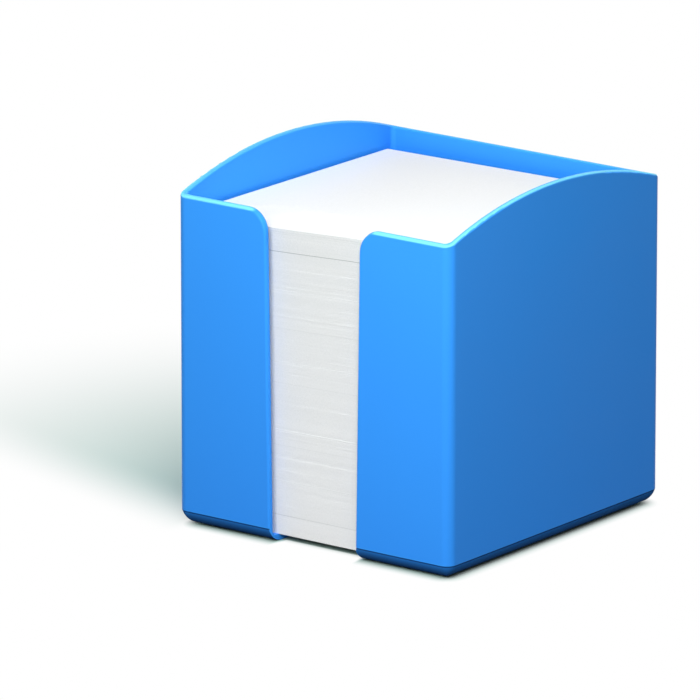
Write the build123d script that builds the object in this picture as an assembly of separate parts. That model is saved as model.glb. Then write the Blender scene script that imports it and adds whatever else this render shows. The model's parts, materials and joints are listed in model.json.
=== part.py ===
from build123d import *
import os

# Memo box: an open-topped desk box, moulded in one piece, and the loose note paper that it holds.
# Millimetres. +X runs to the right along the front, +Y to the back and +Z up.
# The origin is the middle of the base, on the surface that the box stands on.

# Note paper: square loose sheets, thick packs below and single sheets on top
sheet_side = 90.0
sheet_thickness = 0.1
stack_height = 90.0
loose_sheet_count = 8
pack_top_shares = (0.066, 0.179, 0.298, 0.348, 0.504, 0.572, 0.684, 0.807, 0.935, 0.994, 1.0)
slip = 0.25
pack_slip_right_shares = (0.0, 0.4, -0.5, 0.3, -0.2, 0.6, -0.4, 0.2, -0.3, 0.5, 0.1)
pack_slip_back_shares = (0.0, -0.6, 0.3, -0.8, 0.4, -0.3, 0.7, -0.4, 0.6, -0.7, -0.2)
sheet_slip_right_shares = (0.5, -0.6, 0.2, 0.8, -0.3, 0.4, -0.8, 0.1)
sheet_slip_back_shares = (-0.4, 0.5, -0.9, 0.1, 0.6, -0.5, 0.3, -0.7)

# Place of the stack in the box
side_clearance = 1.0
end_clearance = 3.3
stack_right_of_middle = 0.4
stack_front_of_middle = 0.9

# Walls, floor and the rim, which follows one arc from the front to the back
wall = 2.0
floor_thickness = 1.9
corner_radius = 3.0
inner_corner_radius = 1.5
cove_radius = 0.5
rim_above_paper = 4.5
arch_rise = 8.6
rim_round = 0.7

# Thumb slot in the front wall, which runs on as a notch in the floor
slot_foot_width = 30.2
slot_rim_width = 33.0
flange_corner_radius = 6.5
notch_depth = 22.0
notch_corner_radius = 6.0

# Rounded foot below the crease that runs round the outside
foot_height = 4.33
foot_inset = 5.64

# How far a cut runs past what it cuts
overrun = 1.0

inner_width = sheet_side + 2 * side_clearance
inner_depth = sheet_side + 2 * end_clearance
box_width = inner_width + 2 * wall
box_depth = inner_depth + 2 * wall
rim_height = floor_thickness + stack_height + rim_above_paper
crown_height = rim_height + arch_rise
tray_height = floor_thickness + cove_radius
arch_radius = ((box_depth / 2) ** 2 + arch_rise**2) / (2 * arch_rise)


def rounded_block(width, depth, radius, bottom, top):
    """Upright block about the middle of the box, with rounded upright corners."""
    outline = Plane.XY.offset(bottom) * RectangleRounded(width, depth, radius)
    return extrude(outline, top - bottom)


def slot_half_width(height):
    """Half the width of the thumb slot at a height: it widens evenly from the foot to the rim."""
    rise_share = height / rim_height
    return (slot_foot_width + (slot_rim_width - slot_foot_width) * rise_share) / 2


def slot_prism(back):
    """Tapered prism of the thumb slot, from in front of the box to a depth in it."""
    low, high = -overrun, crown_height + overrun
    outline = Polyline(
        (-slot_half_width(low), low),
        (slot_half_width(low), low),
        (slot_half_width(high), high),
        (-slot_half_width(high), high),
        close=True,
    )
    front_view = Plane((0, back, 0), x_dir=(1, 0, 0), z_dir=(0, -1, 0))
    return extrude(front_view * make_face(outline), back + box_depth / 2 + overrun)


def notch_cutter():
    """The slot run back under the paper, with the rounded end of the notch in the floor."""
    prism = slot_prism(notch_depth - box_depth / 2)
    end_edges = prism.faces().sort_by(Axis.Y)[-1].edges().sort_by(Axis.X)
    return fillet([end_edges[0], end_edges[-1]], notch_corner_radius)


def arch_height(depth):
    """Height of the rim's arc at a depth from the middle of the box."""
    return crown_height - arch_radius + (arch_radius**2 - depth**2) ** 0.5


def arch_cylinder():
    """Lying cylinder whose top is the arc of the rim."""
    lying = Rot(0, 90, 0) * Cylinder(arch_radius, box_width + 2 * overrun)
    return Pos(0, 0, crown_height - arch_radius) * lying


def nearest_edge(part, x, y, z):
    """The edge of a part that passes closest to a point."""
    return part.edges().sort_by_distance((x, y, z))[0]


def slotted_front(block):
    """Front half of the arched block, slotted, with the top corners beside the slot rounded."""
    front = split(block, Plane.XZ, keep=Keep.TOP) - slot_prism(overrun)
    depth = box_depth / 4
    height = arch_height(depth)
    across = slot_half_width(height)
    corners = [nearest_edge(front, side * across, -depth, height) for side in (-1, 1)]
    return fillet(corners, flange_corner_radius)


def walls():
    """The four walls above the tray, with the slot, the arched rim and all rim edges rounded."""
    top = crown_height + overrun
    block = rounded_block(box_width, box_depth, corner_radius, tray_height, top) & arch_cylinder()
    ring = slotted_front(block) + split(block, Plane.XZ, keep=Keep.BOTTOM)
    ring -= rounded_block(inner_width, inner_depth, inner_corner_radius, 0, top)
    rims = [nearest_edge(ring, 0, depth / 2, arch_height(depth / 2)) for depth in (inner_depth, box_depth)]
    return fillet(rims, rim_round)


def foot_section():
    """Waste outside the foot's arc, drawn with x inwards from the wall face and y upwards."""
    arc = TangentArc((foot_inset, 0), (0, foot_height), tangent=(-1, 0))
    rest = Polyline(
        (0, foot_height),
        (-overrun, foot_height),
        (-overrun, -overrun),
        (foot_inset, -overrun),
        (foot_inset, 0),
    )
    return make_face([arc, rest])


def foot_cutters():
    """Waste below the rounded foot: a long cut for each side and a turned cut for each corner."""
    section = foot_section()
    right = Plane((box_width / 2, 0, 0), x_dir=(-1, 0, 0), z_dir=(0, 1, 0))
    back = Plane((0, box_depth / 2, 0), x_dir=(0, -1, 0), z_dir=(-1, 0, 0))
    corner_y = box_depth / 2 - corner_radius
    start = Plane((box_width / 2, corner_y, 0), x_dir=(-1, 0, 0), z_dir=(0, 1, 0))
    reach = corner_radius + overrun
    near_corner = Pos(corner_radius - reach / 2, 0) * Rectangle(reach, 2 * (foot_height + overrun))
    turn_axis = Axis((box_width / 2 - corner_radius, corner_y, 0), (0, 0, 1))
    side_cut = extrude(right * section, box_depth / 2 + overrun, both=True)
    end_cut = extrude(back * section, box_width / 2 + overrun, both=True)
    corner_cut = revolve(start * (section & near_corner), turn_axis, 90)
    half = [side_cut, end_cut, corner_cut, mirror(corner_cut, Plane.YZ)]
    return half + [Rot(0, 0, 180) * cut for cut in half]


def tray():
    """The floor with its thumb notch, up to the top of the cove between the floor and the walls."""
    block = rounded_block(box_width, box_depth, corner_radius, 0, tray_height)
    well = rounded_block(inner_width, inner_depth, inner_corner_radius, floor_thickness, rim_height)
    well = fillet(well.faces().sort_by(Axis.Z)[0].edges(), cove_radius)
    return block - well - notch_cutter()


def box_shell():
    """The moulded box: walls on a notched tray, with the rounded foot cut round the outside."""
    shell = walls() + tray()
    for cutter in foot_cutters():
        shell -= cutter
    return shell


def paper_block(bottom, top, slip_right_share, slip_back_share):
    """Square block of sheets between two heights, slipped a little from the middle of the stack."""
    block = Box(sheet_side, sheet_side, top - bottom, align=(Align.CENTER, Align.CENTER, Align.MIN))
    right = stack_right_of_middle + slip * slip_right_share
    back = slip * slip_back_share - stack_front_of_middle
    return Pos(right, back, bottom) * block


def note_packs():
    """Packs of sheets from the floor up, by node name."""
    packed_height = stack_height - loose_sheet_count * sheet_thickness
    packs = {}
    bottom = floor_thickness
    slips = zip(pack_slip_right_shares, pack_slip_back_shares)
    for number, (top_share, slip_shares) in enumerate(zip(pack_top_shares, slips), start=1):
        top = floor_thickness + packed_height * top_share
        packs[f"note_pack_{number:02d}"] = paper_block(bottom, top, *slip_shares)
        bottom = top
    return packs


def loose_sheets():
    """Single sheets on top of the packs, by node name, the topmost one last."""
    sheets = {}
    bottom = floor_thickness + stack_height - loose_sheet_count * sheet_thickness
    slips = zip(sheet_slip_right_shares, sheet_slip_back_shares)
    for number, slip_shares in enumerate(slips, start=1):
        top = bottom + sheet_thickness
        sheets[f"loose_sheet_{number}"] = paper_block(bottom, top, *slip_shares)
        bottom = top
    return sheets


def main():
    """Builds every node and writes it to its own file."""
    os.makedirs("parts", exist_ok=True)
    nodes = {"box_shell": box_shell(), **note_packs(), **loose_sheets()}
    for name, solid in nodes.items():
        export_step(solid, f"parts/{name}.step")


main()
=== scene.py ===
import json
import math
import random
from collections import namedtuple

import bmesh
import bpy
from bpy.props import FloatProperty, FloatVectorProperty, IntProperty, PointerProperty
from mathutils import Matrix, Vector


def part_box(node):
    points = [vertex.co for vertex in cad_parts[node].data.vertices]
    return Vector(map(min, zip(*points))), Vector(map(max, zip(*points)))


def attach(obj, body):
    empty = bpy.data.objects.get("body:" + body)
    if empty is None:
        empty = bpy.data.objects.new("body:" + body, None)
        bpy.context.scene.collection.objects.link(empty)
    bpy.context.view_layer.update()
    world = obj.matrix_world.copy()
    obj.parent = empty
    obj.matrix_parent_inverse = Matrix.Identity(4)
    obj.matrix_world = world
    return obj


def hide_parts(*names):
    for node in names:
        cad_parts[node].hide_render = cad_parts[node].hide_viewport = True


# Looks of a memo box: the moulded plastic box, every sheet of the note paper in it, and a studio stage.
# Metres, in the frame of the part: +X to the right along the front, +Y to the back, +Z up.

bl_info = {
    "name": "Memo Box",
    "version": (1, 0, 0),
    "blender": (4, 5, 0),
    "location": "View3D > Sidebar > Memo Box",
    "description": "Dresses a memo box with moulded plastic and loose note paper",
    "category": "Object",
}

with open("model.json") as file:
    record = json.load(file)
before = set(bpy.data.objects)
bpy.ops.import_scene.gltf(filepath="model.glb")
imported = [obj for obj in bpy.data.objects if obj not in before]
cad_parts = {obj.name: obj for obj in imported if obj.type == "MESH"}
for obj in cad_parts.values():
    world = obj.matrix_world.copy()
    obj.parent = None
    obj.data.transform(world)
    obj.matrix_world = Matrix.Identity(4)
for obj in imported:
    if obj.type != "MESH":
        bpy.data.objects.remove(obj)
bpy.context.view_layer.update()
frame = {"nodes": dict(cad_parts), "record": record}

# Nodes of the frame, and the body that each rides on
SHELL = "box_shell"
PACKS = sorted(name for name in frame["nodes"] if name.startswith("note_pack_"))
SHEETS = sorted(name for name in frame["nodes"] if name.startswith("loose_sheet_"))
BODIES = frame["record"]["behaviour"]["bodies"]
BODY_OF = {node: body for body, nodes in BODIES.items() for node in nodes}

# The box, the stack of paper in it, and the notch that the thumb slot cuts into the floor of the box
SHELL_LOW, SHELL_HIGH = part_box(SHELL)
SHELL_MIDDLE = (SHELL_LOW + SHELL_HIGH) / 2
SHELL_HALF = (SHELL_HIGH - SHELL_LOW) / 2
STACK_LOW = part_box(PACKS[0])[0]
STACK_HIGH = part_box(SHEETS[-1])[1]
STACK_MIDDLE = (STACK_LOW + STACK_HIGH) / 2
NOTCH_WIDTH, NOTCH_DEPTH = 0.0302, 0.022
NOTCH_MOUTH = (0, SHELL_LOW.y, 0)

# Plastic: how far the soft patches change its tone, and the part of their noise that changes its roughness
PLASTIC = "blue_satin_plastic"
PLASTIC_IOR = 1.46
CLOUD_DETAIL, GRAIN_DETAIL = 2, 3
CLOUD_TONE = 0.15
CLOUD_RANGE = (0.3, 0.7)

# Shares of the wall, from the inside, between which the painted highlight on the rim grows stronger, and
# how strong it is at the inner edge
RIM_HIGHLIGHT_SHARES = (0.2, 0.8)
RIM_INNER_HIGHLIGHT = 0.35

# Foot: how dark its painted shade is at the crease and in the painted dark line there, and the soft share
# of that line's width
FOOT_SHADE_AT_CREASE = 0.3
CREASE_SHADE = 0.8
SOFT_SHARE = 0.25

# Paper: its fibres and finish, and how far each tone goes from the paper colour to the shade colour
PAPER = "white_note_paper"
SHEET_TONE_LAYER = "sheet_tone"
FIBRE_DETAIL = 4
FIBRE_RANGE = (0.35, 0.75)
FIBRE_TONE = 0.1
PAPER_ROUGHNESS = (0.8, 0.95)
PAPER_GLOSS = 0.2
# Painted shade on the cut edges of the sheets, from the foot of the stack to its top
EDGE_SHADE_LOW, EDGE_SHADE_HIGH = 0.06, 0.36
BUNDLE_TONE, SHEET_TONE = 0.03, 0.02

# Lines between the packs: painted shade makes the top sheets of a pack greyer, and those of some packs
# stand out
LINE_SHADE_SHEETS = 2
LINE_SHADE = 0.08
LINE_SHADES = {"note_pack_01": 0.27, "note_pack_02": 0.12, "note_pack_09": 0.75}

# Shares of the packs' slip that shows, and of the dent's width at which its sheets are cut
SLIP_SHARE = 0.25
DENT_CUT_SHARES = (-0.45, 0.0, 0.45, 0.95)

# Fewest sheets that slip together, and how far upright the normal of a sheet's flat face is at least
LEAST_IN_BUNDLE = 2
FLAT_NORMAL = 0.5

# Stage: a half height that takes in everything, the floor's gap below the foot, and the camera's values
TALL = 1.0
FLOOR_DROP = 0.0001
SENSOR_WIDTH = 36.0
CLIP_START, CLIP_END = 0.1, 20.0
WHITE = (1, 1, 1, 1)

# Lamps: turn, rise and spread in degrees, distance and side in metres, and the setting for their level
Lamp = namedtuple("Lamp", "name turn rise spread distance side level")
LAMPS = (
    Lamp("front_lamp", 24, 32, 120, 0.4, 0.25, "front_level"),
    Lamp("upper_lamp", 60, 70, 180, 1.6, 0.9, "upper_level"),
    Lamp("back_lamp", 185, 10, 180, 0.8, 0.3, "fill_level"),
    Lamp("left_lamp", -110, 10, 180, 0.8, 0.3, "fill_level"),
)

# Shader nodes: the soft kind of range, and a colour mix's sockets, by number because their names repeat
SMOOTH = "SMOOTHSTEP"
MIX_SHARE, MIX_FIRST, MIX_SECOND, MIX_RESULT = 0, 6, 7, 2


class PlasticSettings(bpy.types.PropertyGroup):
    """Colours and finish of the moulded box."""

    # Painted light and shade: the plastic is paler near the rim and darker near the foot, as the lamps
    # fall
    lit_upper_colour: FloatVectorProperty(
        name="Upper colour",
        # Colour of the plastic near the rim, paler there by painted light
        description="Colour of the plastic near the rim",
        subtype="COLOR",
        min=0,
        max=1,
        default=(0.041, 0.338, 1.0),
    )
    shaded_lower_colour: FloatVectorProperty(
        name="Lower colour",
        # Colour of the plastic near the foot, darker there by painted shade
        description="Colour of the plastic near the foot",
        subtype="COLOR",
        min=0,
        max=1,
        default=(0.034, 0.292, 0.93),
    )
    # Painted highlight: a paler tone along the rim
    rim_highlight_colour: FloatVectorProperty(
        name="Rim colour",
        # Painted highlight along the thin rounded rim
        description="Paler tone where light soaks into the thin rounded rim",
        subtype="COLOR",
        min=0,
        max=1,
        default=(0.2, 0.75, 0.98),
    )
    # Painted shade: the foot darkens down to the ground
    foot_shade_colour: FloatVectorProperty(
        name="Foot colour",
        # Painted shade of the rounded foot, darkest where it meets the ground
        description="Deep tone of the rounded foot where it meets the ground",
        subtype="COLOR",
        min=0,
        max=1,
        default=(0.001, 0.012, 0.05),
    )
    foot_height: FloatProperty(
        name="Foot height",
        description="Height of the crease above the rounded foot",
        unit="LENGTH",
        default=0.00433,
    )
    wall_thickness: FloatProperty(
        name="Wall thickness",
        description="Thickness of the walls",
        unit="LENGTH",
        default=0.002,
    )
    floor_thickness: FloatProperty(
        name="Floor thickness",
        description="Thickness of the floor, a hair less than that of the walls",
        unit="LENGTH",
        default=0.0019,
    )
    crease_shade_width: FloatProperty(
        name="Crease width",
        # Width of the painted dark shade line along the crease
        description="Width of the dark line along the crease",
        unit="LENGTH",
        default=0.00045,
    )
    gloss: FloatProperty(
        name="Gloss",
        description="Strength of the reflections on the moulded faces",
        subtype="FACTOR",
        min=0,
        max=1,
        default=0.09,
    )
    foot_roughness: FloatProperty(
        name="Foot roughness",
        description="Roughness of the matt rounded foot",
        subtype="FACTOR",
        min=0,
        max=1,
        default=0.85,
    )
    arch_rise: FloatProperty(
        name="Arch rise",
        description="Height of the rim's arc above its ends",
        unit="LENGTH",
        default=0.0086,
    )
    rim_highlight_band: FloatProperty(
        name="Rim band",
        # Depth of the painted highlight below the rim
        description="Depth of the paler tone below the rim",
        unit="LENGTH",
        default=0.0006,
    )
    rim_highlight_edge: FloatProperty(
        name="Rim edge",
        # Depth below the rim to which the painted highlight is full
        description="Depth below the rim to which the paler tone is full",
        unit="LENGTH",
        default=0.00012,
    )
    roughness: FloatProperty(
        name="Roughness",
        description="Roughness of the satin moulded face",
        subtype="FACTOR",
        min=0,
        max=1,
        default=0.42,
    )
    roughness_drift: FloatProperty(
        name="Roughness drift",
        description="How far the roughness wanders over the faces",
        subtype="FACTOR",
        min=0,
        max=1,
        default=0.08,
    )
    grain_size: FloatProperty(
        name="Grain size",
        description="Size of the fine grain left by the mould",
        unit="LENGTH",
        default=0.0004,
    )
    grain_depth: FloatProperty(
        name="Grain depth",
        description="Depth of the fine grain left by the mould",
        unit="LENGTH",
        default=0.000006,
    )
    cloud_size: FloatProperty(
        name="Cloud size",
        description="Size of the soft patches in the colour and gloss",
        unit="LENGTH",
        default=0.035,
    )


class PaperSettings(bpy.types.PropertyGroup):
    """Sizes, slips and colours of the note paper."""

    colour: FloatVectorProperty(
        name="Paper colour",
        description="Colour of a fresh sheet",
        subtype="COLOR",
        min=0,
        max=1,
        default=(0.955, 0.965, 0.96),
    )
    shade_colour: FloatVectorProperty(
        name="Shade colour",
        # Colour of the painted shade on the cut edges and between the packs, and of the greyest sheets and
        # fibres
        description="Colour of the greyest sheets and fibres",
        subtype="COLOR",
        min=0,
        max=1,
        default=(0.43, 0.475, 0.465),
    )
    sheet_thickness: FloatProperty(
        name="Sheet thickness",
        description="Thickness of one sheet, with the air under it",
        unit="LENGTH",
        default=0.0001,
    )
    paper_share: FloatProperty(
        name="Paper share",
        description="Share of that thickness that is paper",
        subtype="FACTOR",
        min=0.5,
        max=1,
        default=0.93,
    )
    bundle_sheets: IntProperty(
        name="Bundle",
        description="Most sheets that slip together",
        min=LEAST_IN_BUNDLE,
        default=16,
    )
    bundle_slip: FloatProperty(
        name="Bundle slip",
        description="Farthest slip of a bundle from its pack",
        unit="LENGTH",
        default=0.00003,
    )
    sheet_slip: FloatProperty(
        name="Sheet slip",
        description="Farthest slip of a sheet from its bundle",
        unit="LENGTH",
        default=0.000015,
    )
    bundle_turn: FloatProperty(
        name="Bundle turn",
        description="Farthest turn of a bundle from square",
        unit="ROTATION",
        subtype="ANGLE",
        default=math.radians(0.02),
    )
    lean_right: FloatProperty(
        name="Lean to the right",
        description="How far the top of the uneven stack rises to the right",
        unit="ROTATION",
        subtype="ANGLE",
        default=math.radians(0.6),
    )
    lean_front: FloatProperty(
        name="Lean to the front",
        description="How far the top of the uneven stack rises to the front",
        unit="ROTATION",
        subtype="ANGLE",
        default=math.radians(0.32),
    )
    dent: FloatProperty(
        name="Dent",
        description="How far the stack's front edge is pressed down in the thumb slot",
        unit="LENGTH",
        default=0.0011,
    )
    dent_place: FloatProperty(
        name="Dent place",
        description="Where along the front edge the dent is deepest",
        unit="LENGTH",
        default=-0.017,
    )
    dent_width: FloatProperty(
        name="Dent width",
        description="How far to either side the dent reaches",
        unit="LENGTH",
        default=0.029,
    )
    dent_reach: FloatProperty(
        name="Dent reach",
        description="How far back from the front edge the dent reaches",
        unit="LENGTH",
        default=0.02,
    )
    fibre_size: FloatProperty(
        name="Fibre size",
        description="Size of the fibres that mottle the paper",
        unit="LENGTH",
        default=0.0005,
    )
    fibre_depth: FloatProperty(
        name="Fibre depth",
        description="Depth of the fibres in the face of the paper",
        unit="LENGTH",
        default=0.000004,
    )


class StageSettings(bpy.types.PropertyGroup):
    """Camera, lamps, floor and background."""

    camera_turn: FloatProperty(
        name="Camera turn",
        description="Turn of the camera to the right of the front",
        unit="ROTATION",
        subtype="ANGLE",
        default=math.radians(37.21),
    )
    camera_tilt: FloatProperty(
        name="Camera tilt",
        description="Tilt of the camera down from level",
        unit="ROTATION",
        subtype="ANGLE",
        default=math.radians(15.46),
    )
    camera_distance: FloatProperty(
        name="Camera distance",
        description="Distance of the camera from the middle of the picture",
        unit="LENGTH",
        default=2.8794,
    )
    picture_middle: FloatVectorProperty(
        name="Picture middle",
        description="Place of the picture's middle: right and up from the box's axis, and its height",
        unit="LENGTH",
        default=(-0.01977, 0.00006, 0.04803),
    )
    lens: FloatProperty(
        name="Lens",
        description="Focal length of the camera in millimetres",
        unit="CAMERA",
        default=522.09,
    )
    floor_size: FloatProperty(
        name="Floor size",
        description="Side of the floor",
        unit="LENGTH",
        default=8.0,
    )
    floor_colour: FloatVectorProperty(
        name="Floor colour",
        description="Colour of the floor where it keeps the shadow of the box",
        subtype="COLOR",
        min=0,
        max=1,
        default=(0.421, 0.611, 0.545),
    )
    floor_bounce: FloatVectorProperty(
        name="Floor bounce",
        description="Colour of the light that the floor sends back up",
        subtype="COLOR",
        min=0,
        max=1,
        default=(0.22, 0.22, 0.22),
    )
    shadow_middle: FloatVectorProperty(
        name="Shadow middle",
        description="Middle of the part of the floor that shows the cast shadow",
        unit="LENGTH",
        default=(0, -0.008, 0),
    )
    shadow_half: FloatVectorProperty(
        name="Shadow half size",
        description="Half the size of the part of the floor that shows the cast shadow",
        unit="LENGTH",
        default=(0.0242, 0.0162, TALL),
    )
    shadow_fade: FloatVectorProperty(
        name="Shadow fade",
        description="Distances from that part at which the floor begins and ends to turn plain white",
        unit="LENGTH",
        size=2,
        default=(0, 0.1992),
    )
    shadow_front: FloatVectorProperty(
        name="Shadow front",
        description="Places from back to front between which the cast shadow ends",
        unit="LENGTH",
        size=2,
        default=(-0.0382, -0.075),
    )
    shadow_slant: FloatProperty(
        name="Shadow slant",
        description="How far that front end slants to the back, for its way to the left",
        default=0.3084,
    )
    shadow_right: FloatVectorProperty(
        name="Shadow right",
        description="Places from left to right, as the camera looks, between which the cast shadow ends",
        unit="LENGTH",
        size=2,
        default=(-0.02, 0.06),
    )
    contact_inset: FloatProperty(
        name="Contact inset",
        description="How far inside the outline of the box its foot stands on the floor",
        unit="LENGTH",
        default=0.00564,
    )
    contact_fade: FloatVectorProperty(
        name="Contact fade",
        description="Distances from the foot at which the floor begins and ends to turn plain white",
        unit="LENGTH",
        size=2,
        default=(0.0017, 0.008),
    )
    notch_light: FloatProperty(
        name="Notch light",
        description="How much sooner the floor turns plain white in the notch",
        unit="LENGTH",
        default=0.0055,
    )
    ambient: FloatProperty(
        name="Ambient",
        description="Brightness of the light from all round",
        min=0,
        default=0.2,
    )
    front_level: FloatProperty(
        name="Front lamp",
        description="Brightness of a white card that faces the front lamp",
        min=0,
        default=1.11,
    )
    upper_level: FloatProperty(
        name="Upper lamp",
        description="Brightness of a white card that faces the upper right lamp",
        min=0,
        default=0.4,
    )
    fill_level: FloatProperty(
        name="Fill lamps",
        description="Brightness of a white card that faces a low lamp at the back or at the left",
        min=0,
        default=0.2,
    )


def add_node(tree, kind, inputs, **settings):
    """Adds a shader node, with its settings, and sets or links its inputs by name or number."""
    made = tree.nodes.new(kind)
    for name, value in settings.items():
        setattr(made, name, value)
    for key, value in inputs.items():
        if isinstance(value, bpy.types.NodeSocket):
            tree.links.new(value, made.inputs[key])
        else:
            made.inputs[key].default_value = value
    return made


def object_coords(tree):
    """Coordinates of the piece itself."""
    return add_node(tree, "ShaderNodeTexCoord", {}).outputs["Object"]


def pick_axis(tree, coords, axis):
    """One of the coordinates."""
    return add_node(tree, "ShaderNodeSeparateXYZ", {"Vector": coords}).outputs[axis]


def add_noise(tree, coords, size, detail):
    """Noise whose features are about the given size."""
    inputs = {"Vector": coords, "Scale": 1 / size, "Detail": detail}
    return add_node(tree, "ShaderNodeTexNoise", inputs).outputs[0]


def add_bump(tree, height, depth):
    """A normal that shows a relief of the given depth."""
    inputs = {"Strength": 1.0, "Distance": depth, "Height": height}
    return add_node(tree, "ShaderNodeBump", inputs).outputs["Normal"]


def add_range(tree, value, start, end, first, last, blend="LINEAR"):
    """Maps a value from one range to another."""
    inputs = {"Value": value, "From Min": start, "From Max": end, "To Min": first, "To Max": last}
    return add_node(tree, "ShaderNodeMapRange", inputs, interpolation_type=blend).outputs[0]


def add_mix(tree, share, first, second):
    """Mixes two colours."""
    inputs = {MIX_SHARE: share, MIX_FIRST: first, MIX_SECOND: second}
    return add_node(tree, "ShaderNodeMix", inputs, data_type="RGBA").outputs[MIX_RESULT]


def add_math(tree, operation, *values):
    """Sum, product or the like of values."""
    return add_node(tree, "ShaderNodeMath", dict(enumerate(values)), operation=operation).outputs[0]


def add_vector_math(tree, operation, *vectors):
    """Difference, greatest or the like of vectors, as a vector."""
    made = add_node(tree, "ShaderNodeVectorMath", dict(enumerate(vectors)), operation=operation)
    return made.outputs["Vector"]


def measure_vector(tree, operation, *vectors):
    """Length, dot product or the like of vectors, as a value."""
    made = add_node(tree, "ShaderNodeVectorMath", dict(enumerate(vectors)), operation=operation)
    return made.outputs["Value"]


def beside_box(tree, coords, middle, half):
    """Distance from an upright block, nothing inside it."""
    from_middle = add_vector_math(tree, "SUBTRACT", coords, middle)
    from_axes = add_vector_math(tree, "ABSOLUTE", from_middle)
    from_faces = add_vector_math(tree, "SUBTRACT", from_axes, half)
    outside = add_vector_math(tree, "MAXIMUM", from_faces, (0, 0, 0))
    return measure_vector(tree, "LENGTH", outside)


def mix_shaders(tree, share, first, second):
    """Mixes two shaders."""
    return add_node(tree, "ShaderNodeMixShader", {0: share, 1: first, 2: second}).outputs[0]


def rgba(colour):
    """A colour with full alpha."""
    return (*colour, 1.0)


def new_material(name):
    """A material with an empty node tree, and its output node."""
    material = bpy.data.materials.new(name)
    material.use_nodes = True
    material.node_tree.nodes.clear()
    output = material.node_tree.nodes.new("ShaderNodeOutputMaterial")
    return material, material.node_tree, output


def shared_material(name, make, settings):
    """The material of that name, made when it is first asked for."""
    return bpy.data.materials.get(name) or make(settings)


def rim_highlight_mask(tree, coords, settings):
    """Share of the painted highlight on the rim: one at the outer edge of the rim's arc, less at its inner
    edge, and nothing below the band of the highlight.
    """
    radius = (SHELL_HALF.y**2 + settings.arch_rise**2) / (2 * settings.arch_rise)
    place = {"Vector": coords, "Location": (0, 0, radius - SHELL_HIGH.z), "Scale": (0, 1, 1)}
    section = add_node(tree, "ShaderNodeMapping", place).outputs[0]
    reach = measure_vector(tree, "LENGTH", section)
    lowest, full = radius - settings.rim_highlight_band, radius - settings.rim_highlight_edge
    upper = add_range(tree, reach, lowest, full, 0, 1, SMOOTH)

    wall = settings.wall_thickness
    inner_half = SHELL_HALF - Vector((wall, wall, -SHELL_HIGH.z))
    from_inside = beside_box(tree, coords, SHELL_MIDDLE, inner_half)
    start, end = (share * wall for share in RIM_HIGHLIGHT_SHARES)
    outer = add_range(tree, from_inside, start, end, RIM_INNER_HIGHLIGHT, 1, SMOOTH)
    return add_math(tree, "MULTIPLY", upper, outer)


def foot_shade_masks(tree, coords, height, settings):
    """Share of the painted shade, most at the ground and in a dark line along the crease, and the share of
    the foot.
    """
    crease, width = settings.foot_height, settings.crease_shade_width
    soft = SOFT_SHARE * width
    inner_half = SHELL_HALF - Vector.Fill(3, settings.floor_thickness)
    from_inside = beside_box(tree, coords, SHELL_MIDDLE, inner_half)
    outside = add_range(tree, from_inside, SOFT_SHARE * soft, soft, 0, 1)
    notch_half = (NOTCH_WIDTH / 2 + soft, NOTCH_DEPTH + soft, SHELL_HIGH.z)
    from_notch = beside_box(tree, coords, NOTCH_MOUTH, notch_half)
    off_notch = add_range(tree, from_notch, 0, 2 * soft, 0, 1)
    low = add_range(tree, height, crease - soft, crease, 1, 0)
    foot = add_math(tree, "MULTIPLY", low, add_math(tree, "MULTIPLY", outside, off_notch))

    depth = add_range(tree, height, 0, crease, 1, FOOT_SHADE_AT_CREASE)
    at_crease = add_math(tree, "COMPARE", height, crease - width / 2, width / 2)
    line = add_math(tree, "MULTIPLY", at_crease, CREASE_SHADE)
    painted_foot_shade = add_math(tree, "MULTIPLY", foot, add_math(tree, "MAXIMUM", depth, line))
    return painted_foot_shade, foot


def plastic_material(settings):
    """Satin blue plastic with painted light: darker towards the foot, a painted dark foot and crease line,
    a painted highlight in the rim, and a fine mould grain.
    """
    material, tree, output = new_material(PLASTIC)
    coords = object_coords(tree)
    height = pick_axis(tree, coords, "Z")
    clouds = add_noise(tree, coords, settings.cloud_size, CLOUD_DETAIL)
    grain = add_noise(tree, coords, settings.grain_size, GRAIN_DETAIL)

    # Painted light and shade: the colour runs from the darker lower colour at the foot to the paler upper
    # colour at the rim, with random soft patches added
    rise = add_range(tree, height, 0, SHELL_HIGH.z, 0, 1)
    patches = add_range(tree, clouds, 0, 1, -CLOUD_TONE, CLOUD_TONE)
    upper = add_math(tree, "ADD", rise, patches)
    colour = add_mix(tree, upper, rgba(settings.shaded_lower_colour), rgba(settings.lit_upper_colour))
    # Painted shade: the foot darkens down to the ground, with a dark line along the crease
    painted_foot_shade, foot = foot_shade_masks(tree, coords, height, settings)
    colour = add_mix(tree, painted_foot_shade, colour, rgba(settings.foot_shade_colour))
    # Painted highlight: a paler tone along the rim
    colour = add_mix(tree, rim_highlight_mask(tree, coords, settings), colour, rgba(settings.rim_highlight_colour))

    roughness, drift = settings.roughness, settings.roughness_drift
    satin = add_range(tree, clouds, *CLOUD_RANGE, roughness - drift, roughness + drift)
    surface = {
        "Base Color": colour,
        "Roughness": add_range(tree, foot, 0, 1, satin, settings.foot_roughness),
        "Normal": add_bump(tree, grain, settings.grain_depth),
        "IOR": PLASTIC_IOR,
        "Specular IOR Level": settings.gloss,
    }
    shader = add_node(tree, "ShaderNodeBsdfPrincipled", surface)
    tree.links.new(shader.outputs[0], output.inputs["Surface"])
    return material


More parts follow.
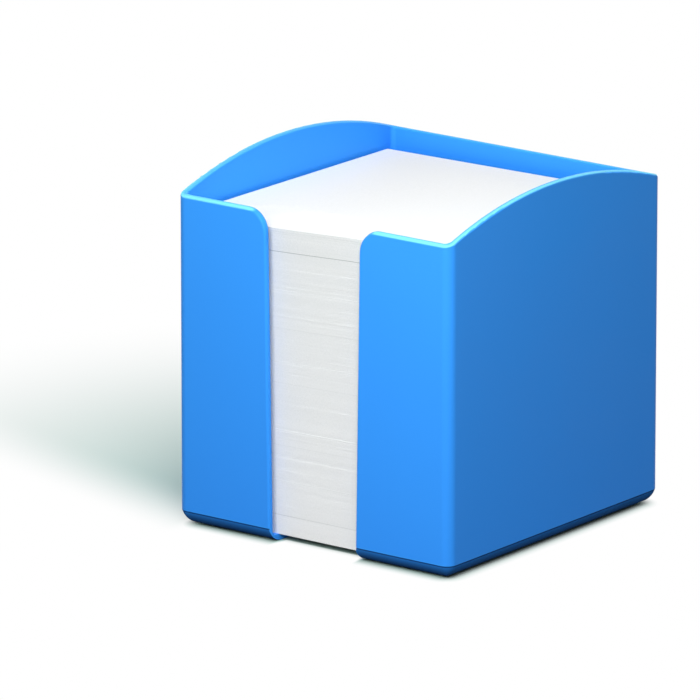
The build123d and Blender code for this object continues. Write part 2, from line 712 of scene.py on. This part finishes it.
def paper_material(settings):
    """Plain uncoated paper: faint fibres, a tone that differs a little from sheet to sheet, and painted
    shade on the cut edges and in the lines between the packs.
    """
    material, tree, output = new_material(PAPER)
    fibres = add_noise(tree, object_coords(tree), settings.fibre_size, FIBRE_DETAIL)
    # Each face's tone holds its random sheet tone and the painted shade of its cut edges and pack lines
    tone = add_node(tree, "ShaderNodeAttribute", {}, attribute_name=SHEET_TONE_LAYER).outputs["Fac"]
    mottle = add_range(tree, fibres, *FIBRE_RANGE, 0, FIBRE_TONE)
    shade = add_math(tree, "ADD", tone, mottle)
    surface = {
        "Base Color": add_mix(tree, shade, rgba(settings.colour), rgba(settings.shade_colour)),
        "Roughness": add_range(tree, fibres, 0, 1, *PAPER_ROUGHNESS),
        "Normal": add_bump(tree, fibres, settings.fibre_depth),
        "Specular IOR Level": PAPER_GLOSS,
    }
    shader = add_node(tree, "ShaderNodeBsdfPrincipled", surface)
    tree.links.new(shader.outputs[0], output.inputs["Surface"])
    return material


def add_object(name, data):
    """A new object in the scene."""
    made = bpy.data.objects.new(name, data)
    bpy.context.scene.collection.objects.link(made)
    return made


def add_mesh_object(name, bm, material):
    """Turns a bmesh into an object of one material."""
    mesh = bpy.data.meshes.new(name)
    bm.to_mesh(mesh)
    bm.free()
    mesh.materials.append(material)
    return add_object(name, mesh)


def smooth_step(value):
    """Eases a value from nothing to one."""
    share = min(max(value, 0.0), 1.0)
    return share * share * (3 - 2 * share)


def height_share(point):
    """Nothing at the foot of the stack, one at its top."""
    return (point.z - STACK_LOW.z) / (STACK_HIGH.z - STACK_LOW.z)


def rise_at(point, settings):
    """How far the stack lies above level at a point: it leans, and is dented in the thumb slot."""
    lean_right = math.tan(settings.lean_right) * (point.x - STACK_MIDDLE.x)
    lean_front = math.tan(settings.lean_front) * (STACK_MIDDLE.y - point.y)
    beside = smooth_step(abs(point.x - settings.dent_place) / settings.dent_width)
    behind = smooth_step((point.y - STACK_LOW.y) / settings.dent_reach)
    dent = settings.dent * (1 - beside) * (1 - behind)
    return (lean_right + lean_front - dent) * height_share(point)


def add_sheet(bm, tone_layer, tone, centre, turn, thickness):
    """Adds one square sheet to a bmesh, with painted shade that makes its cut edges greyer than its faces,
    more so higher up the stack.
    """
    side = STACK_HIGH.x - STACK_LOW.x
    first_face = len(bm.faces)
    scale = Matrix.Diagonal((side, side, thickness, 1.0))
    place = Matrix.Translation(centre) @ Matrix.Rotation(turn, 4, "Z") @ scale
    bmesh.ops.create_cube(bm, size=1.0, matrix=place)
    bm.faces.ensure_lookup_table()
    # Painted shade: the cut edges are greyer, and more so near the top where the lamps fall brighter
    painted_edge_shade = EDGE_SHADE_LOW + (EDGE_SHADE_HIGH - EDGE_SHADE_LOW) * height_share(centre)
    for face in bm.faces[first_face:]:
        face[tone_layer] = tone if abs(face.normal.z) > FLAT_NORMAL else tone + painted_edge_shade


def bend_paper(bm, settings):
    """Cuts every sheet of a bmesh across the dent, and bends it to the uneven stack."""
    across = [settings.dent_place + share * settings.dent_width for share in DENT_CUT_SHARES]
    cuts = [((x, 0, 0), (1, 0, 0)) for x in across]
    cuts.append(((0, STACK_LOW.y + settings.dent_reach, 0), (0, 1, 0)))
    for place, outward in cuts:
        every = [*bm.verts, *bm.edges, *bm.faces]
        bmesh.ops.bisect_plane(bm, geom=every, plane_co=place, plane_no=outward)
    for vert in bm.verts:
        vert.co.z += rise_at(vert.co, settings)


def finish_paper(name, node, bm, settings):
    """Turns a bmesh of sheets into the piece that stands for a CAD node."""
    bend_paper(bm, settings)
    piece = add_mesh_object(name, bm, shared_material(PAPER, paper_material, settings))
    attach(piece, BODY_OF[node])
    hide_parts(node)


def paper_middle(low, high):
    """Middle of some of the paper, drawn most of the way in from its slip."""
    middle = STACK_MIDDLE.lerp((low + high) / 2, SLIP_SHARE)
    middle.z = (low.z + high.z) / 2
    return middle


def draw_slip(draw, farthest):
    """A level slip in any direction."""
    return Vector((draw.uniform(-1, 1), draw.uniform(-1, 1), 0)) * farthest


def build_pack(node, settings):
    """A pack of note paper, sheet by sheet: bundles of sheets slip and turn a little from their pack."""
    draw = random.Random(node)
    low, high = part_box(node)
    count = max(round((high.z - low.z) / settings.sheet_thickness), 1)
    pitch = (high.z - low.z) / count
    bm = bmesh.new()
    tone_layer = bm.faces.layers.float.new(SHEET_TONE_LAYER)
    left_in_bundle = 0
    for number in range(count):
        if left_in_bundle == 0:
            left_in_bundle = draw.randint(LEAST_IN_BUNDLE, settings.bundle_sheets)
            bundle_slip = draw_slip(draw, settings.bundle_slip)
            turn = draw.uniform(-1, 1) * settings.bundle_turn
            bundle_tone = draw.uniform(0, BUNDLE_TONE)
        left_in_bundle -= 1
        centre = paper_middle(low, high) + bundle_slip + draw_slip(draw, settings.sheet_slip)
        centre.z = low.z + (number + 0.5) * pitch
        tone = bundle_tone + draw.uniform(0, SHEET_TONE)
        # Painted shade: the top sheets of a pack are greyer, as a line between the packs
        if number >= count - LINE_SHADE_SHEETS:
            tone += LINE_SHADES.get(node, LINE_SHADE)
        add_sheet(bm, tone_layer, tone, centre, turn, pitch * settings.paper_share)
    finish_paper(node.replace("note_pack", "pack_of_sheets"), node, bm, settings)


def build_loose_sheet(node, settings):
    """One of the single sheets on top."""
    draw = random.Random(node)
    low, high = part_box(node)
    bm = bmesh.new()
    tone_layer = bm.faces.layers.float.new(SHEET_TONE_LAYER)
    turn = draw.uniform(-1, 1) * settings.bundle_turn
    tone = draw.uniform(0, BUNDLE_TONE)
    thickness = (high.z - low.z) * settings.paper_share
    add_sheet(bm, tone_layer, tone, paper_middle(low, high), turn, thickness)
    finish_paper(node.replace("loose_sheet", "top_sheet"), node, bm, settings)


def seen_ray_share(tree):
    """One for rays that show the background: those of the camera, of gloss and of glass."""
    rays = add_node(tree, "ShaderNodeLightPath", {}).outputs
    seen = add_math(tree, "MAXIMUM", rays["Is Camera Ray"], rays["Is Glossy Ray"])
    return add_math(tree, "MAXIMUM", seen, rays["Is Transmission Ray"])


def cast_shadow_share(tree, coords, settings):
    """How far the floor keeps the cast shadow: less far off, in front, and at the right."""
    from_shadow = beside_box(tree, coords, settings.shadow_middle, settings.shadow_half)
    to_front = measure_vector(tree, "DOT_PRODUCT", coords, (settings.shadow_slant, 1, 0))
    turn = settings.camera_turn
    to_right = measure_vector(tree, "DOT_PRODUCT", coords, (math.cos(turn), math.sin(turn), 0))
    start, end = settings.contact_fade
    inset, reach = settings.contact_inset, settings.floor_size / 2
    front_middle = SHELL_LOW + Vector((inset + reach, inset - reach - start, 0))
    from_front = beside_box(tree, coords, front_middle, (reach, reach, TALL))
    across = pick_axis(tree, coords, "X")
    kept = add_range(tree, from_shadow, *settings.shadow_fade, 1, 0, SMOOTH)
    for share in (
        add_range(tree, to_front, *settings.shadow_front, 1, 0, SMOOTH),
        add_range(tree, to_right, *settings.shadow_right, 1, 0, SMOOTH),
        add_range(tree, from_front, 0, end, 0, 1, SMOOTH),
        add_range(tree, across, SHELL_HIGH.x - end, SHELL_HIGH.x, 1, 0, SMOOTH),
    ):
        kept = add_math(tree, "MULTIPLY", kept, share)
    return kept


def contact_share(tree, coords, settings):
    """How far the floor keeps the shade round the foot, which is lighter in the notch."""
    start, end = settings.contact_fade
    inset = settings.contact_inset
    foot_half = SHELL_HALF - Vector((inset, inset, 0))
    from_foot = beside_box(tree, coords, SHELL_MIDDLE, foot_half)
    notch_half = (NOTCH_WIDTH / 2 - start, inset, TALL)
    from_notch = beside_box(tree, coords, NOTCH_MOUTH, notch_half)
    lighter = add_range(tree, from_notch, 0, start, settings.notch_light, 0)
    return add_range(tree, add_math(tree, "ADD", from_foot, lighter), start, end, 1, 0, SMOOTH)


def floor_material(settings):
    """White floor that keeps the shadow of the box and turns plain white away from it."""
    material, tree, output = new_material("white_studio_floor")
    coords = object_coords(tree)
    in_shadow = cast_shadow_share(tree, coords, settings)
    kept = add_math(tree, "MAXIMUM", in_shadow, contact_share(tree, coords, settings))
    near = add_node(tree, "ShaderNodeBsdfDiffuse", {"Color": rgba(settings.floor_colour)}).outputs[0]
    plain = add_node(tree, "ShaderNodeEmission", {"Color": WHITE, "Strength": 1.0}).outputs[0]
    bounce = add_node(tree, "ShaderNodeBsdfDiffuse", {"Color": rgba(settings.floor_bounce)}).outputs[0]
    shown = mix_shaders(tree, kept, plain, near)
    surface = mix_shaders(tree, seen_ray_share(tree), bounce, shown)
    tree.links.new(surface, output.inputs["Surface"])
    return material


def build_floor(settings):
    """The plain floor that the box stands on."""
    bm = bmesh.new()
    bmesh.ops.create_grid(bm, x_segments=1, y_segments=1, size=settings.floor_size / 2)
    bmesh.ops.translate(bm, verts=bm.verts, vec=(0, 0, -FLOOR_DROP))
    floor = add_mesh_object("floor", bm, floor_material(settings))


def build_world(settings):
    """Even soft light from all round, seen as a white background."""
    world = bpy.data.worlds.new("studio")
    world.use_nodes = True
    tree = world.node_tree
    tree.nodes.clear()
    output = tree.nodes.new("ShaderNodeOutputWorld")
    soft, white = (
        add_node(tree, "ShaderNodeBackground", {"Color": WHITE, "Strength": strength}).outputs[0]
        for strength in (settings.ambient, 1.0)
    )
    surface = mix_shaders(tree, seen_ray_share(tree), soft, white)
    tree.links.new(surface, output.inputs["Surface"])
    bpy.context.scene.world = world


def add_lamp(lamp, level):
    """A square soft lamp that faces the middle of the box and lights a white card there to a level."""
    turn, rise = math.radians(lamp.turn), math.radians(lamp.rise)
    level_out = Vector((math.sin(turn), -math.cos(turn), 0))
    outward = level_out * math.cos(rise) + Vector((0, 0, math.sin(rise)))
    light = bpy.data.lights.new(lamp.name, "AREA")
    light.shape = "SQUARE"
    light.size = lamp.side
    half_spread = math.radians(lamp.spread / 2)
    light.spread = 2 * half_spread
    light.energy = level * (math.pi * lamp.distance) ** 2 * (1 - half_spread / math.tan(half_spread))
    holder = add_object(lamp.name, light)
    holder.location = SHELL_MIDDLE + outward * lamp.distance
    holder.rotation_euler = outward.to_track_quat("Z", "Y").to_euler()
    holder.visible_camera = False


def build_lamps(settings):
    """A soft lamp in front, a high one at the right, and low ones that fill the back and the left."""
    for lamp in LAMPS:
        add_lamp(lamp, getattr(settings, lamp.level))


def build_camera(settings):
    """The camera, at the picture's viewing angle."""
    camera = bpy.data.cameras.new("camera")
    camera.sensor_width = SENSOR_WIDTH
    camera.lens = settings.lens
    camera.clip_start = CLIP_START
    camera.clip_end = CLIP_END
    holder = add_object("camera", camera)
    holder.rotation_euler = (math.pi / 2 - settings.camera_tilt, 0, settings.camera_turn)
    right, up, back = holder.rotation_euler.to_matrix().col
    offset_right, offset_up, height = settings.picture_middle
    middle = Vector((0, 0, height)) + right * offset_right + up * offset_up
    holder.location = middle + back * settings.camera_distance
    bpy.context.scene.camera = holder


class DressShell(bpy.types.Operator):
    """Give the moulded box its satin plastic"""

    bl_idname = "memo_box.dress_shell"
    bl_label = "Dress the Box"

    def execute(self, context):
        settings = context.scene.memo_box_plastic
        material = shared_material(PLASTIC, plastic_material, settings)
        for slot in frame["nodes"][SHELL].material_slots:
            slot.material = material
        return {"FINISHED"}


class StackPacks(bpy.types.Operator):
    """Stack the packs of note paper, sheet by sheet"""

    bl_idname = "memo_box.stack_packs"
    bl_label = "Stack the Packs"

    def execute(self, context):
        for node in PACKS:
            build_pack(node, context.scene.memo_box_paper)
        return {"FINISHED"}


class LaySheets(bpy.types.Operator):
    """Lay the single sheets on top of the stack"""

    bl_idname = "memo_box.lay_sheets"
    bl_label = "Lay the Top Sheets"

    def execute(self, context):
        for node in SHEETS:
            build_loose_sheet(node, context.scene.memo_box_paper)
        return {"FINISHED"}


class SetStage(bpy.types.Operator):
    """Set the floor, the lamps, the background and the camera"""

    bl_idname = "memo_box.set_stage"
    bl_label = "Set the Stage"

    def execute(self, context):
        settings = context.scene.memo_box_stage
        build_floor(settings)
        build_world(settings)
        build_lamps(settings)
        build_camera(settings)
        context.scene.view_settings.view_transform = "Standard"
        return {"FINISHED"}


STEPS = (DressShell, StackPacks, LaySheets, SetStage)
GROUPS = {
    "memo_box_plastic": PlasticSettings,
    "memo_box_paper": PaperSettings,
    "memo_box_stage": StageSettings,
}


class MemoBoxPanel(bpy.types.Panel):
    """Lists the steps that dress the memo box, and their sizes and colours"""

    bl_idname = "VIEW3D_PT_memo_box"
    bl_label = "Memo Box"
    bl_space_type = "VIEW_3D"
    bl_region_type = "UI"
    bl_category = "Memo Box"

    def draw(self, context):
        for step in STEPS:
            self.layout.operator(step.bl_idname)
        for name, group in GROUPS.items():
            settings = getattr(context.scene, name)
            box = self.layout.box()
            for prop in group.__annotations__:
                box.prop(settings, prop)


def register():
    """Registers the settings, the steps and the panel."""
    for name, group in GROUPS.items():
        bpy.utils.register_class(group)
        setattr(bpy.types.Scene, name, PointerProperty(type=group))
    for panel_or_step in (*STEPS, MemoBoxPanel):
        bpy.utils.register_class(panel_or_step)


def unregister():
    """Removes what register added, in reverse."""
    for panel_or_step in (MemoBoxPanel, *reversed(STEPS)):
        bpy.utils.unregister_class(panel_or_step)
    for name, group in reversed(GROUPS.items()):
        delattr(bpy.types.Scene, name)
        bpy.utils.unregister_class(group)


def main():
    """Dresses the part step by step."""
    register()
    bpy.ops.memo_box.dress_shell()
    bpy.ops.memo_box.stack_packs()
    bpy.ops.memo_box.lay_sheets()
    bpy.ops.memo_box.set_stage()


if __name__ == "__main__":
    main()
